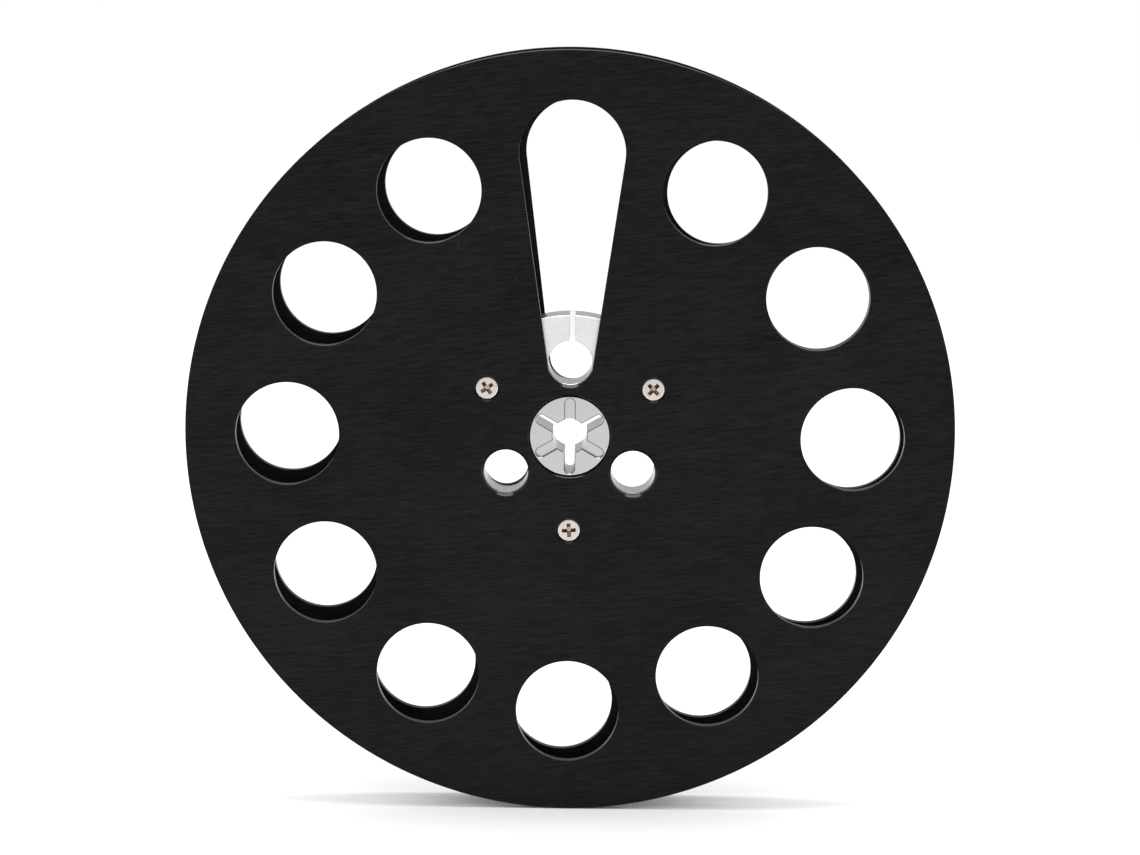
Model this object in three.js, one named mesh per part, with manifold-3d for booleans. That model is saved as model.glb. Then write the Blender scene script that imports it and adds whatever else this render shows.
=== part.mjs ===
// An empty 7 inch reel for quarter-inch recording tape: two anodised flanges screwed to a hub.
// Millimetres. The reel stands up: +Z is up, its front faces -Y, and it spins about the Y axis
// through the origin, which is its centre.
import * as THREE from "three";
import { mergeVertices } from "three/addons/utils/BufferGeometryUtils.js";
import Module from "manifold-3d";

const wasm = await Module();
wasm.setup();

// ---- driving dimensions ----
const REEL_D = 178; // over the flanges
const REEL_T = 12.7; // from one flange's outer face to the other's

const FLANGE_T = 2;
const FLANGE_CHAMFER = 0.3; // on every edge of a flange
const REAR_TURN = 1.3; // degrees the rear flange's pattern is turned clockwise, seen from the front

const WINDOW_STEP = 30; // degrees between lightening holes, starting from the top
const WINDOW_COUNT = 12; // places on the circle, the top one taken by the threading window
const WINDOW_D = 24;
const RIM_BAND = 11.6; // flange left outside the holes
const TEAR_STEP = 0.2; // the threading window's big end is this much larger in radius than a hole
const GRIP_D = 10.2; // three finger holes through the hub
const GRIP_STEP = 0.1; // the flange's finger hole is this much larger in radius
const GRIP_WEB = 2.2; // flange left between a finger hole and the eye

const HUB_D = 56;
const HUB_CHAMFER = 0.4;
const BOSS_R = 9.25; // round boss that stands in the flange's eye
const BOSS_CHAMFER = 0.2;
const BOSS_SINK = 0.5; // boss face below the flange's outer face
const EYE_GAP = 0.35; // radial, between the boss and the flange's eye

const BORE_D = 8; // for the recorder's spindle
const BORE_CHAMFER = 0.2;
const SPLINE_W = 2.3; // through slots for the spindle's three wings
const SPLINE_RIM = 0.4; // boss left between a slot's round end and the boss's edge
const POCKET_DEPTH = 1; // blind pockets that the turned wings drop into

const ANCHOR_W = 1.35; // radial slot that holds the tape's end
const ANCHOR_SHIFT = 0.4; // its centre plane to the right of the axis
const ANCHOR_FLOOR = 1.2; // metal left behind the slot, on the rear side

const SCREW_EDGE = 5.8; // from a screw's axis to the hub's edge
const SCREW_ANGLES = [30, 150, 270];
const THREAD_D = 2.5;
const HEAD_D = 5;
const HEAD_LAND = 0.15; // straight edge of the head above its cone
const HEAD_SINK = 0.4; // head's top below the flange's face
const SEAT_GAP = 0.05; // radial, between the head's cone and its countersink
const THREAD_GAP = 0.3; // radial, round the screw's thread
const TIP_GAP = 0.5; // past the screw's tip, at the bottom of its hole
const TIP_WALL = 0.9; // hub left between the front and rear screws' holes
const DRIVE_SPAN = 3.3; // cross recess, tip to tip
const DRIVE_W = 0.85;
const DRIVE_DEPTH = 0.8;
const DRIVE_TURN = [45, 43, 4]; // degrees, how each screw happens to have come to rest

// ---- facets round a circle ----
const RIM_FACETS = 120;
const HUB_FACETS = 72;
const WINDOW_FACETS = 32;
const BORE_FACETS = 32;
const SMALL_FACETS = 24;
const SCREW_FACETS = 20;

// ---- tied dimensions ----
const HALF_T = REEL_T / 2;
const HALF_GAP = HALF_T - FLANGE_T; // hub's flange seats, each side of the middle plane
const BOSS_Y = HALF_T - BOSS_SINK;
const EYE_R = BOSS_R + EYE_GAP;
const WINDOW_PITCH_R = REEL_D / 2 - RIM_BAND - WINDOW_D / 2;
const TEAR_TOP_R = WINDOW_D / 2 + TEAR_STEP;
const GRIP_R = GRIP_D / 2;
const FLANGE_GRIP_R = GRIP_R + GRIP_STEP;
const GRIP_PITCH_R = EYE_R + GRIP_WEB + FLANGE_GRIP_R;
const GRIP_ANGLES = [90, 210, 330];
const SPLINE_REACH = BOSS_R - SPLINE_RIM;
const SCREW_PITCH_R = HUB_D / 2 - SCREW_EDGE;
const SCREW_L = HALF_T - HEAD_SINK - TIP_GAP - TIP_WALL / 2; // from the head's top to the tip
const SEAT_DEPTH = HEAD_SINK + HEAD_LAND; // where the head's cone starts
const SEAT_R = HEAD_D / 2 + SEAT_GAP;
const CLEAR_R = THREAD_D / 2 + THREAD_GAP;
const OVERSHOOT = 1; // how far a cutter runs past the face it opens

const at = (radius, degrees) => {
  const a = THREE.MathUtils.degToRad(degrees);
  return new THREE.Vector2(radius * Math.cos(a), radius * Math.sin(a));
};

// Points of an arc about a centre, from one angle to the other.
function arcPoints(centre, radius, from, to, steps) {
  return Array.from({ length: steps + 1 }, (_, i) =>
    at(radius, from + ((to - from) * i) / steps).add(centre));
}

const circlePoints = (centre, radius, facets) =>
  arcPoints(centre, radius, 0, 360, facets).slice(0, facets);

// A three.js geometry as a manifold solid.
function solid(geometry) {
  const bare = geometry.clone();
  bare.deleteAttribute("normal");
  bare.deleteAttribute("uv");
  const merged = mergeVertices(bare, 1e-4);
  return new wasm.Manifold(new wasm.Mesh({
    numProp: 3,
    vertProperties: new Float32Array(merged.attributes.position.array),
    triVerts: new Uint32Array(merged.index.array),
  }));
}

function meshOf(name, body, material) {
  const { numProp, vertProperties, triVerts } = body.getMesh();
  if (numProp !== 3) throw new Error(name + " carries more than positions");
  const geometry = new THREE.BufferGeometry();
  geometry.setAttribute("position", new THREE.BufferAttribute(vertProperties, 3));
  geometry.setIndex(new THREE.BufferAttribute(triVerts, 1));
  geometry.computeVertexNormals();
  const mesh = new THREE.Mesh(geometry, material);
  mesh.name = name;
  return mesh;
}

// A flat plate drawn in X and Z, from y0 to y1, with a chamfer on every edge of both faces.
function plate(outline, holes, y0, y1, chamfer) {
  const shape = new THREE.Shape(outline);
  shape.holes = holes.map((points) => new THREE.Path(points));
  const geometry = new THREE.ExtrudeGeometry(shape, {
    depth: y1 - y0 - 2 * chamfer,
    bevelEnabled: chamfer > 0,
    bevelThickness: chamfer,
    bevelSize: chamfer,
    bevelOffset: -chamfer,
    bevelSegments: 1,
  });
  return solid(geometry.rotateX(Math.PI / 2).translate(0, y1 - chamfer, 0));
}

// A cylinder or cone along Y with radius r0 at y0 and r1 at y1, centred on a point in X and Z.
function turned(r0, r1, y0, y1, facets, centre = new THREE.Vector2()) {
  const geometry = new THREE.CylinderGeometry(r1, r0, y1 - y0, facets);
  return solid(geometry.translate(centre.x, (y0 + y1) / 2, centre.y));
}

// A disc about the Y axis with a chamfer on both rims.
function chamferedDisc(radius, y0, y1, chamfer, facets) {
  return turned(radius - chamfer, radius, y0, y0 + chamfer, facets)
    .add(turned(radius, radius, y0 + chamfer, y1 - chamfer, facets))
    .add(turned(radius, radius - chamfer, y1 - chamfer, y1, facets));
}

// A slot with a round end, from the axis out to its reach.
function wingSlot(degrees, y0, y1) {
  const half = SPLINE_W / 2;
  const end = arcPoints(new THREE.Vector2(SPLINE_REACH - half, 0), half, -90, 90, SMALL_FACETS / 2);
  const outline = [new THREE.Vector2(0, -half), ...end, new THREE.Vector2(0, half)];
  const turn = THREE.MathUtils.degToRad(degrees);
  return plate(outline.map((p) => p.rotateAround(new THREE.Vector2(), turn)), [], y0, y1, 0);
}

// The threading window: two round ends joined by the straight lines that touch both.
function tearPoints() {
  const lean = THREE.MathUtils.radToDeg(
    Math.asin((TEAR_TOP_R - FLANGE_GRIP_R) / (WINDOW_PITCH_R - GRIP_PITCH_R)));
  const top = arcPoints(at(WINDOW_PITCH_R, 90), TEAR_TOP_R, -lean, 180 + lean, WINDOW_FACETS / 2);
  const foot = arcPoints(at(GRIP_PITCH_R, 90), FLANGE_GRIP_R, 180 + lean, 360 - lean, SMALL_FACETS / 2);
  return [...top, ...foot];
}

// What a screw needs cut away, drawn for the front face: its countersink and its clearance hole.
function screwSeat(centre) {
  const mouth = -HALF_T - OVERSHOOT;
  const grown = SEAT_R + SEAT_DEPTH + OVERSHOOT;
  const toClear = grown - CLEAR_R;
  return turned(grown, CLEAR_R, mouth, mouth + toClear, SCREW_FACETS, centre)
    .add(turned(CLEAR_R, CLEAR_R, mouth, -HALF_GAP + OVERSHOOT, SCREW_FACETS, centre));
}

function flange() {
  const holes = [tearPoints(), circlePoints(new THREE.Vector2(), EYE_R, HUB_FACETS / 2)];
  for (let i = 1; i < WINDOW_COUNT; i++)
    holes.push(circlePoints(at(WINDOW_PITCH_R, 90 + i * WINDOW_STEP), WINDOW_D / 2, WINDOW_FACETS));
  for (const a of GRIP_ANGLES.slice(1))
    holes.push(circlePoints(at(GRIP_PITCH_R, a), FLANGE_GRIP_R, SMALL_FACETS));
  const rim = circlePoints(new THREE.Vector2(), REEL_D / 2, RIM_FACETS);
  const body = plate(rim, holes, -HALF_T, -HALF_GAP, FLANGE_CHAMFER);
  return SCREW_ANGLES.reduce(
    (left, a) => left.subtract(screwSeat(at(SCREW_PITCH_R, a))), body);
}

// A countersunk screw for the front face, with its cross recess turned as it was left.
function screw(angle, turn) {
  const centre = at(SCREW_PITCH_R, angle);
  const top = -HALF_T + HEAD_SINK;
  const cone = top + HEAD_LAND;
  const neck = cone + (HEAD_D - THREAD_D) / 2;
  const body = turned(HEAD_D / 2, HEAD_D / 2, top, cone, SCREW_FACETS, centre)
    .add(turned(HEAD_D / 2, THREAD_D / 2, cone, neck, SCREW_FACETS, centre))
    .add(turned(THREAD_D / 2, THREAD_D / 2, neck, top + SCREW_L, SCREW_FACETS, centre));
  const bars = [DRIVE_SPAN, DRIVE_W].map((w) => {
    const bar = new THREE.BoxGeometry(w, 2 * DRIVE_DEPTH, DRIVE_SPAN + DRIVE_W - w);
    bar.rotateY(THREE.MathUtils.degToRad(-turn));
    return solid(bar.translate(centre.x, top, centre.y));
  });
  return body.subtract(bars[0].add(bars[1]));
}

// The tapped hole for one front screw, in the hub.
function tappedHole(angle) {
  const floor = -HALF_T + HEAD_SINK + SCREW_L + TIP_GAP;
  const mouth = -HALF_GAP - OVERSHOOT;
  return turned(CLEAR_R, CLEAR_R, mouth, floor, SCREW_FACETS, at(SCREW_PITCH_R, angle));
}

// A front piece or cutter mirrored to the rear face, with the rear flange's small turn.
const toRear = (body) => body.mirror([0, 1, 0]).rotate([0, REAR_TURN, 0]);

function hub() {
  let body = chamferedDisc(HUB_D / 2, -HALF_GAP, HALF_GAP, HUB_CHAMFER, HUB_FACETS)
    .add(chamferedDisc(BOSS_R, -BOSS_Y, BOSS_Y, BOSS_CHAMFER, HUB_FACETS / 2));
  const boreR = BORE_D / 2;
  const flare = BORE_CHAMFER + OVERSHOOT;
  const past = BOSS_Y + OVERSHOOT;
  const lip = BOSS_Y - BORE_CHAMFER;
  const cuts = [
    turned(boreR, boreR, -past, past, BORE_FACETS),
    turned(boreR + flare, boreR, -past, -lip, BORE_FACETS),
    turned(boreR, boreR + flare, lip, past, BORE_FACETS),
  ];
  for (const a of SCREW_ANGLES) cuts.push(wingSlot(a, -past, past));
  for (const a of GRIP_ANGLES) {
    cuts.push(wingSlot(a, -past, -BOSS_Y + POCKET_DEPTH));
    cuts.push(wingSlot(a, BOSS_Y - POCKET_DEPTH, past));
    cuts.push(turned(GRIP_R, GRIP_R, -past, past, SMALL_FACETS, at(GRIP_PITCH_R, a)));
  }
  for (const a of SCREW_ANGLES) {
    cuts.push(tappedHole(a));
    cuts.push(toRear(tappedHole(a)));
  }
  const slotDepth = 2 * HALF_GAP - ANCHOR_FLOOR + OVERSHOOT;
  const slotLength = HUB_D / 2 + OVERSHOOT - GRIP_PITCH_R;
  const anchor = new THREE.BoxGeometry(ANCHOR_W, slotDepth, slotLength);
  cuts.push(solid(anchor.translate(
    ANCHOR_SHIFT, -HALF_GAP - OVERSHOOT + slotDepth / 2, GRIP_PITCH_R + slotLength / 2)));
  for (const cut of cuts) body = body.subtract(cut);
  return body;
}

const ANODISED = new THREE.MeshStandardMaterial({ color: 0x202020, roughness: 0.42, metalness: 0.85 });
const SATIN = new THREE.MeshStandardMaterial({ color: 0xd2d2d2, roughness: 0.35, metalness: 1 });
const NICKEL = new THREE.MeshStandardMaterial({ color: 0xcfc7bd, roughness: 0.28, metalness: 1 });

const reel = new THREE.Group();
reel.name = "tape_reel";
const frontFlange = flange();
reel.add(meshOf("front_flange", frontFlange, ANODISED));
reel.add(meshOf("rear_flange", toRear(frontFlange), ANODISED));
reel.add(meshOf("hub", hub(), SATIN));
SCREW_ANGLES.forEach((angle, i) => {
  const body = screw(angle, DRIVE_TURN[i]);
  reel.add(meshOf("front_screw_" + (i + 1), body, NICKEL));
  reel.add(meshOf("rear_screw_" + (i + 1), toRear(body), NICKEL));
});

export default reel;
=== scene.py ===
"""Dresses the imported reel: two brushed black flanges, a satin hub and six countersunk screws."""

import logging
import math
from dataclasses import dataclass
from enum import Enum
from typing import Callable, Iterable, Sequence

import bmesh
import bpy
from bmesh.types import BMEdge, BMesh, BMFace, BMVert
from mathutils import Euler, Matrix, Vector


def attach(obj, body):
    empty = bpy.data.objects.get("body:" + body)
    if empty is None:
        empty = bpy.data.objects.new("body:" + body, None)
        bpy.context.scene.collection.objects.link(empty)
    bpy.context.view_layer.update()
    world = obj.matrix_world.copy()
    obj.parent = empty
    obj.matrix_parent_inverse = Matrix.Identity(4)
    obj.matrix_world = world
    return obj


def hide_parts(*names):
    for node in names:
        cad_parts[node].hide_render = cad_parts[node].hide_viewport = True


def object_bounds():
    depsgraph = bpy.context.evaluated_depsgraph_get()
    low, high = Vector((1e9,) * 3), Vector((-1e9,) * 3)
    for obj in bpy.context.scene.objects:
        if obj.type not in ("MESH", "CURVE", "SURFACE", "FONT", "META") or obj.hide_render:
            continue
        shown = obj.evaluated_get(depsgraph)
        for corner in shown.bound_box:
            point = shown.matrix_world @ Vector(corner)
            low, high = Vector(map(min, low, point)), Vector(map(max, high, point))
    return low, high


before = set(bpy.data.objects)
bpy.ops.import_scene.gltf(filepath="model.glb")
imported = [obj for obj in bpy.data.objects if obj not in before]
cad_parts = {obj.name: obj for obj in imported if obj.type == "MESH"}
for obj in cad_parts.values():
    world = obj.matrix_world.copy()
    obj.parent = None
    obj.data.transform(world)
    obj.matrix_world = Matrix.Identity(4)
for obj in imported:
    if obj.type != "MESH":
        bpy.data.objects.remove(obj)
CAD_LOW, CAD_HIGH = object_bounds()

LOG = logging.getLogger("reel")
MM = 0.001
ROOT_BODY = "root"
FULL_TURN = 360.0
SHARP_ANGLE = 20.0  # degrees between faces, past which an edge shades crisply
DOUBLES_GAP = 1e-7  # metres, under which two vertices are one
GRAIN_HEIGHT = 0.00002  # metres, of the brushed grain
MARK_HEIGHT = 0.00001  # metres, of the turning marks
PLANE_TURN = Matrix.Rotation(math.radians(90), 4, "X")  # lays a flat XY shape in X and Z
SPIN_AXIS = Vector((0.0, -1.0, 0.0))  # turns +X towards +Z


class Side(Enum):
    """A face of the reel, as the sign of its Y."""

    FRONT = -1
    REAR = 1

    def other(self) -> "Side":
        """Returns the opposite face."""
        return Side(-self.value)


class FlangeSkin(Enum):
    """A flange's material slots."""

    FACE = 0
    WALL = 1
    EDGE = 2
    SINK = 3  # the countersinks
    DULL_WALL = 4  # the rim and the eye, behind their edges, in a darker and duller black as painted shade
    EYE_EDGE = 5
    FINGER_EDGE = 6  # the wide chamfers of the finger holes and of the window's foot


class HubSkin(Enum):
    """The hub's material slots."""

    BOSS = 0
    WALL = 1
    # the hub's chamfers, a lighter copy of the metal as painted highlight
    EDGE = 2
    DISC = 3
    # the tape slot, a lighter and glossier copy of the metal as painted highlight
    SLOT = 4
    MOUTH = 5  # the bore's broken edge, a darker copy of the metal as painted shade
    BOSS_SHADE = 6  # the boss's wall and a ring round its foot, painted near black as shade


class ScrewSkin(Enum):
    """A screw's material slots."""

    BODY = 0
    # the cross recess, a darker and browner metal: partly dirt, partly painted shade
    RECESS = 1
    CROWN = 2  # the head's chamfered edge, a lighter metal as painted highlight


@dataclass(frozen=True)
class Reel:
    """The sizes that the flanges, the hub and the screws share, in millimetres and degrees."""

    rim_r: float = round(CAD_HIGH.x / MM, 3)
    face_y: float = round(CAD_HIGH.y / MM, 3)  # of the flanges' outer faces
    flange_thickness: float = 2.0
    boss_r: float = 9.25
    boss_setback: float = 0.5  # of a boss's face, behind the flange's
    finger_r: float = 5.1  # of a finger hole in the hub
    finger_pitch_r: float = 17.0
    clearance_r: float = 1.55  # of a screw's hole
    head_r: float = 2.5
    head_setback: float = 0.4  # of a screw's head, behind the flange's face
    screw_pitch_r: float = 22.2
    screw_angles: tuple[float, ...] = (30.0, 150.0, 270.0)
    screw_turns: tuple[float, ...] = (45.0, 36.0, 4.0)  # how each recess came to rest
    rear_turn: float = -1.3  # of the rear flange and its screws

    @property
    def seat_y(self) -> float:
        """Returns the depth at which a flange lies on the hub."""
        return self.face_y - self.flange_thickness


REEL = Reel()


# ---------------------------------------------------------------- outlines in the reel's plane


@dataclass(frozen=True)
class Arc:
    """Part of a circle in the reel's plane, in millimetres and degrees from +X towards +Z."""

    x: float
    z: float
    radius: float
    start: float
    sweep: float
    steps: int

    def draw(self, bm: BMesh, y: float) -> list[BMVert]:
        """Spins one vertex round the arc's centre.

        Args:
            bm: The mesh to draw in.
            y: Depth of the arc, in millimetres.

        Returns:
            The arc's vertices, in order.
        """
        before = len(bm.verts)
        angle = math.radians(self.start)
        centre = Vector((self.x, y, self.z)) * MM
        reach = Vector((math.cos(angle), 0.0, math.sin(angle))) * self.radius * MM
        first = bmesh.ops.create_vert(bm, co=centre + reach)["vert"]
        bmesh.ops.spin(
            bm, geom=first, cent=centre, axis=SPIN_AXIS,
            angle=math.radians(self.sweep), steps=self.steps, use_duplicate=False,
        )
        bm.verts.ensure_lookup_table()
        return bm.verts[before:]


Outline = Callable[[float], Sequence[Arc]]  # the arcs of an edge, grown into the metal by so much
Loop = list[BMEdge]  # the edges of a closed outline, drawn in a mesh
Skins = Sequence[bpy.types.Material]  # a piece's materials, in the order of its Enum
Socket = bpy.types.NodeSocket
Colour = tuple[float, float, float]


def polar(radius: float, degrees: float) -> tuple[float, float]:
    """Returns the X and Z of a point at a radius and an angle."""
    return radius * math.cos(math.radians(degrees)), radius * math.sin(math.radians(degrees))


def crossings(radius: float, *lines: float) -> list[float]:
    """Returns the angles at which upright lines, each at its X, leave the top of a circle."""
    return [math.degrees(math.acos(x / radius)) for x in lines]


def ring(x: float, z: float, radius: float, steps: int, outward: float = 1.0) -> Outline:
    """Returns a circle's outline; outward is -1 for a rim, which grows into the metal inwards."""
    return lambda grow: (Arc(x, z, radius + outward * grow, 0.0, FULL_TURN, steps),)


def turned(arcs: Sequence[Arc], degrees: float) -> tuple[Arc, ...]:
    """Turns arcs about the reel's axis.

    Args:
        arcs: The arcs to turn.
        degrees: The angle from +X towards +Z.

    Returns:
        The turned arcs.
    """
    made = []
    for arc in arcs:
        x, z = polar(math.hypot(arc.x, arc.z), math.degrees(math.atan2(arc.z, arc.x)) + degrees)
        made.append(Arc(x, z, arc.radius, arc.start + degrees, arc.sweep, arc.steps))
    return tuple(made)


def edges_at(verts: Iterable[BMVert]) -> Loop:
    """Returns the edges at some vertices, each once and always in the same order."""
    return list(dict.fromkeys(edge for vert in verts for edge in vert.link_edges))


def draw_loop(bm: BMesh, arcs: Sequence[Arc], y: float) -> Loop:
    """Draws a closed outline: one whole circle, or arcs joined by straight lines.

    Args:
        bm: The mesh to draw in.
        arcs: The outline's arcs, in order.
        y: Its depth, in millimetres.

    Returns:
        The outline's edges.
    """
    first = arcs[0]
    if len(arcs) == 1 and first.sweep == FULL_TURN:
        place = Matrix.Translation(Vector((first.x, y, first.z)) * MM)
        made = bmesh.ops.create_circle(
            bm, cap_ends=False, radius=first.radius * MM, segments=first.steps,
            matrix=place @ PLANE_TURN,
        )
        return edges_at(made["verts"])
    runs = [arc.draw(bm, y) for arc in arcs]
    for run, after in zip(runs, runs[1:] + runs[:1]):
        bmesh.ops.contextual_create(bm, geom=[run[-1], after[0]])
    return edges_at(vert for run in runs for vert in run)


# ---------------------------------------------------------------- shells


def paint(faces: Iterable[BMFace], skin: Enum) -> None:
    """Gives faces a material slot."""
    for face in faces:
        face.material_index = skin.value


@dataclass(frozen=True)
class Wall:
    """A wall that follows an outline from one depth to another, with a chamfer at either end."""

    outline: Outline
    y_from: float
    y_to: float
    chamfer_from: float
    chamfer_to: float
    skin: Enum
    edge_skin: Enum

    def levels(self) -> list[tuple[float, float]]:
        """Works out where the wall's loops go.

        Returns:
            Each loop's growth and depth, from the wall's start to its end.
        """
        way = 1.0 if self.y_to > self.y_from else -1.0
        made = [(0.0, self.y_from + way * self.chamfer_from), (0.0, self.y_to - way * self.chamfer_to)]
        if self.chamfer_from > 0.0:
            made.insert(0, (self.chamfer_from, self.y_from))
        if self.chamfer_to > 0.0:
            made.append((self.chamfer_to, self.y_to))
        return made

    def build(self, bm: BMesh) -> tuple[Loop, Loop]:
        """Bridges the loops.

        Args:
            bm: The mesh to build in.

        Returns:
            The edges of the first loop and of the last.
        """
        levels = self.levels()
        loops = [draw_loop(bm, self.outline(grow), y) for grow, y in levels]
        for i, (near, far) in enumerate(zip(loops, loops[1:])):
            broken = levels[i][0] > 0.0 or levels[i + 1][0] > 0.0
            made = bmesh.ops.bridge_loops(bm, edges=near + far)
            paint(made["faces"], self.edge_skin if broken else self.skin)
        return loops[0], loops[-1]


def plain_wall(outline: Outline, y_from: float, y_to: float, skin: Enum) -> Wall:
    """Returns a wall with no chamfers."""
    return Wall(outline, y_from, y_to, 0.0, 0.0, skin, skin)


def cap(bm: BMesh, loops: Iterable[Loop], side: Side, skin: Enum) -> None:
    """Fills the flat face between loops that lie in one plane.

    Args:
        bm: The mesh that holds them.
        loops: The face's outer edge and the edges of its openings.
        side: The way the face looks.
        skin: The face's material slot.
    """
    edges = [edge for loop in loops for edge in loop]
    made = bmesh.ops.triangle_fill(
        bm, use_beauty=True, use_dissolve=False, edges=edges, normal=(0.0, side.value, 0.0)
    )
    paint([item for item in made["geom"] if isinstance(item, BMFace)], skin)


def filler(bm: BMesh, wall: Wall) -> None:
    """Builds a solid block with the outline of a wall, closed at both ends.

    Args:
        bm: The mesh to build in.
        wall: The block's side.
    """
    near, far = wall.build(bm)
    start = Side.FRONT if wall.y_from < wall.y_to else Side.REAR
    cap(bm, [near], start, wall.skin)
    cap(bm, [far], start.other(), wall.skin)


def finish_piece(bm: BMesh, node: str, skins: Skins) -> bpy.types.Object:
    """Turns a finished mesh into the piece that stands for a CAD node.

    Args:
        bm: The mesh, in metres and in place; it is freed.
        node: The CAD node that it replaces.
        skins: The piece's materials, in the order of its Enum.

    Returns:
        The new object.
    """
    bmesh.ops.recalc_face_normals(bm, faces=bm.faces)
    open_edges = sum(1 for edge in bm.edges if not edge.is_manifold)
    name = node + "_dressed"
    mesh = bpy.data.meshes.new(name)
    bm.to_mesh(mesh)
    bm.free()
    mesh.set_sharp_from_angle(angle=math.radians(SHARP_ANGLE))
    piece = bpy.data.objects.new(name, mesh)
    bpy.context.scene.collection.objects.link(piece)
    for skin in skins:
        mesh.materials.append(skin)
    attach(piece, ROOT_BODY)
    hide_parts(node)
    LOG.info("%s: %d faces, %d open edges", name, len(mesh.polygons), open_edges)
    return piece


# ---------------------------------------------------------------- finishes


@dataclass(frozen=True)
class Pattern:
    """A noise over the surface, and what a span of its values stands for."""

    scale: tuple[float, float, float]  # per metre, along X, Y and Z
    detail: float
    span: tuple[float, float] = (0.0, 1.0)
    strength: tuple[float, float] = (0.0, 1.0)  # at the span's two ends
    roughness: float = 0.6  # of the finer layers


class Nodes:
    """A node tree, with short ways to add and join nodes."""

    def __init__(self, tree: bpy.types.NodeTree) -> None:
        """Starts from an empty tree."""
        self.tree = tree
        self.tree.nodes.clear()

    def add(self, kind: str, **values: object) -> bpy.types.Node:
        """Adds a node and sets its own properties.

        Args:
            kind: The node's type.
            values: The properties, by name.

        Returns:
            The node.
        """
        node = self.tree.nodes.new(kind)
        for key, value in values.items():
            setattr(node, key, value)
        return node

    def join(self, source: Socket, target: Socket) -> None:
        """Links two sockets."""
        self.tree.links.new(source, target)

    def remap(self, value: Socket, span: Sequence[float], to: Sequence[float]) -> Socket:
        """Maps a value's span onto another, and clamps it there.

        Args:
            value: The value to map.
            span: Its lowest and highest value.
            to: What they become.

        Returns:
            The mapped value.
        """
        node = self.add("ShaderNodeMapRange")
        for key, number in zip(("From Min", "From Max", "To Min", "To Max"), (*span, *to)):
            node.inputs[key].default_value = number
        self.join(value, node.inputs["Value"])
        return node.outputs["Result"]

    def combine(self, operation: str, a: Socket, b: Socket) -> Socket:
        """Joins two values with a math operation.

        Args:
            operation: The operation's name.
            a: The first value.
            b: The second value.

        Returns:
            The result.
        """
        node = self.add("ShaderNodeMath", operation=operation)
        self.join(a, node.inputs[0])
        self.join(b, node.inputs[1])
        return node.outputs["Value"]

    def between(self, factor: Socket, low: float | Socket, high: float | Socket) -> Socket:
        """Returns a value between two, by a factor.

        Args:
            factor: 0 for the first value, 1 for the second.
            low: The first value, or the socket that gives it.
            high: The second.

        Returns:
            The value.
        """
        node = self.add("ShaderNodeMix")
        self.join(factor, node.inputs["Factor"])
        for key, end in (("A", low), ("B", high)):
            if isinstance(end, Socket):
                self.join(end, node.inputs[key])
            else:
                node.inputs[key].default_value = end
        return node.outputs["Result"]


class SurfaceNodes(Nodes):
    """A new material's node tree, round one Principled shader."""

    def __init__(self, name: str) -> None:
        """Starts the material.

        Args:
            name: The material's name.
        """
        self.material = bpy.data.materials.new(name)
        self.material.use_nodes = True
        super().__init__(self.material.node_tree)
        self.shader = self.add("ShaderNodeBsdfPrincipled")
        output = self.add("ShaderNodeOutputMaterial")
        self.join(self.shader.outputs["BSDF"], output.inputs["Surface"])

    def fix(self, **values: object) -> None:
        """Sets the shader's own sockets, with underscores for the spaces of their names."""
        for key, value in values.items():
            self.shader.inputs[key.replace("_", " ")].default_value = value

    def drive(self, key: str, source: Socket) -> None:
        """Links a value to one of the shader's sockets."""
        self.join(source, self.shader.inputs[key])

    def place(self, scale: Sequence[float], turn: Sequence[float] = (0.0, 0.0, 0.0)) -> Socket:
        """Turns and then scales the object's coordinates.

        Args:
            scale: The scale along X, Y and Z, per metre.
            turn: The turn about X, Y and Z, in degrees.

        Returns:
            The coordinates.
        """
        coords = self.add("ShaderNodeTexCoord")
        turning = self.add("ShaderNodeMapping")
        turning.inputs["Rotation"].default_value = [math.radians(a) for a in turn]
        scaling = self.add("ShaderNodeMapping")
        scaling.inputs["Scale"].default_value = scale
        self.join(coords.outputs["Object"], turning.inputs["Vector"])
        self.join(turning.outputs["Vector"], scaling.inputs["Vector"])
        return scaling.outputs["Vector"]

    def noise(self, pattern: Pattern, lean: float = 0.0) -> Socket:
        """Reads a pattern's bare noise.

        Args:
            pattern: The pattern.
            lean: How far it is turned about Y, in degrees.

        Returns:
            The noise's value.
        """
        node = self.add("ShaderNodeTexNoise")
        node.inputs["Scale"].default_value = 1.0
        node.inputs["Detail"].default_value = pattern.detail
        node.inputs["Roughness"].default_value = pattern.roughness
        self.join(self.place(pattern.scale, (0.0, lean, 0.0)), node.inputs["Vector"])
        return node.outputs["Fac"]

    def marks(self, pattern: Pattern, lean: float = 0.0) -> Socket:
        """Returns a pattern's strength, which its noise's span sets."""
        return self.remap(self.noise(pattern, lean), pattern.span, pattern.strength)

    def blend(self, factor: Socket, low: Colour, high: Colour) -> Socket:
        """Returns a colour between two, by a factor.

        Args:
            factor: 0 for the first colour, 1 for the second.
            low: The first colour.
            high: The second colour.

        Returns:
            The colour.
        """
        node = self.add("ShaderNodeMix", data_type="RGBA")
        ends = [socket for socket in node.inputs if socket.type == "RGBA"]
        for socket, colour in zip(ends, (low, high)):
            socket.default_value = (*colour, 1.0)
        self.join(factor, node.inputs["Factor"])
        return next(socket for socket in node.outputs if socket.type == "RGBA")

    def bump(self, height: Socket, strength: float, distance: float) -> None:
        """Roughens the shader's normal.

        Args:
            height: The surface's height, from 0 to 1.
            strength: How much of the bump shows.
            distance: The height's full depth, in metres.
        """
        node = self.add("ShaderNodeBump")
        node.inputs["Strength"].default_value = strength
        node.inputs["Distance"].default_value = distance
        self.join(height, node.inputs["Height"])
        self.drive("Normal", node.outputs["Normal"])


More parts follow.
